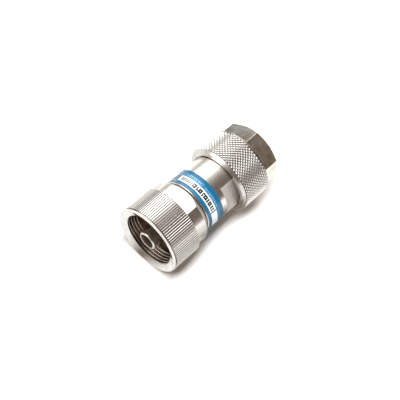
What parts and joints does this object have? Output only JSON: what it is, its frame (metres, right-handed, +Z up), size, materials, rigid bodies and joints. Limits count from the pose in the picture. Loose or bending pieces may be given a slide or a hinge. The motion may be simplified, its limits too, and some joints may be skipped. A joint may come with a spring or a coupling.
{
  "type": "coaxial adapter",
  "caption": "Precision coaxial adapter: a test-port socket in a large knurled coupling nut, a labelled round body, and a plug in a knurled nut that ends in a hexagon.",
  "frame": {"origin": "centre of the bottom, on the surface that the plug's coupling nut stands on", "axes": "+Z up the adapter's axis from the plug to the socket's mouth, -Y the side that the picture shows"},
  "size_m": [0.022, 0.022, 0.0449],
  "materials": {
    "steel": "fine turned, bright",
    "label_film": "printed film",
    "gold_plate": "gold plated",
    "bead_plastic": "plain"
  },
  "bodies": {
    "body": {"main_body": "steel", "label": "label_film", "front_barrel": "steel", "front_contact": "gold_plate", "front_bead": "bead_plastic", "centre_conductor": "gold_plate", "rear_bead": "bead_plastic", "rear_sleeve": "steel", "rear_pin": "gold_plate", "front_retaining_ring": "steel", "rear_retaining_ring": "steel"},
    "front_nut": {"front_coupling_nut": "steel"},
    "rear_nut": {"rear_coupling_nut": "steel"}
  },
  "joints": [
    {"name": "front_nut_turn", "type": "hinge", "parent": "body", "child": "front_nut", "pos_m": [0, 0, 0.0371], "axis": [0, 0, 1], "continuous": true},
    {"name": "rear_nut_turn", "type": "hinge", "parent": "body", "child": "rear_nut", "pos_m": [0, 0, 0.0079], "axis": [0, 0, 1], "continuous": true}
  ]
}
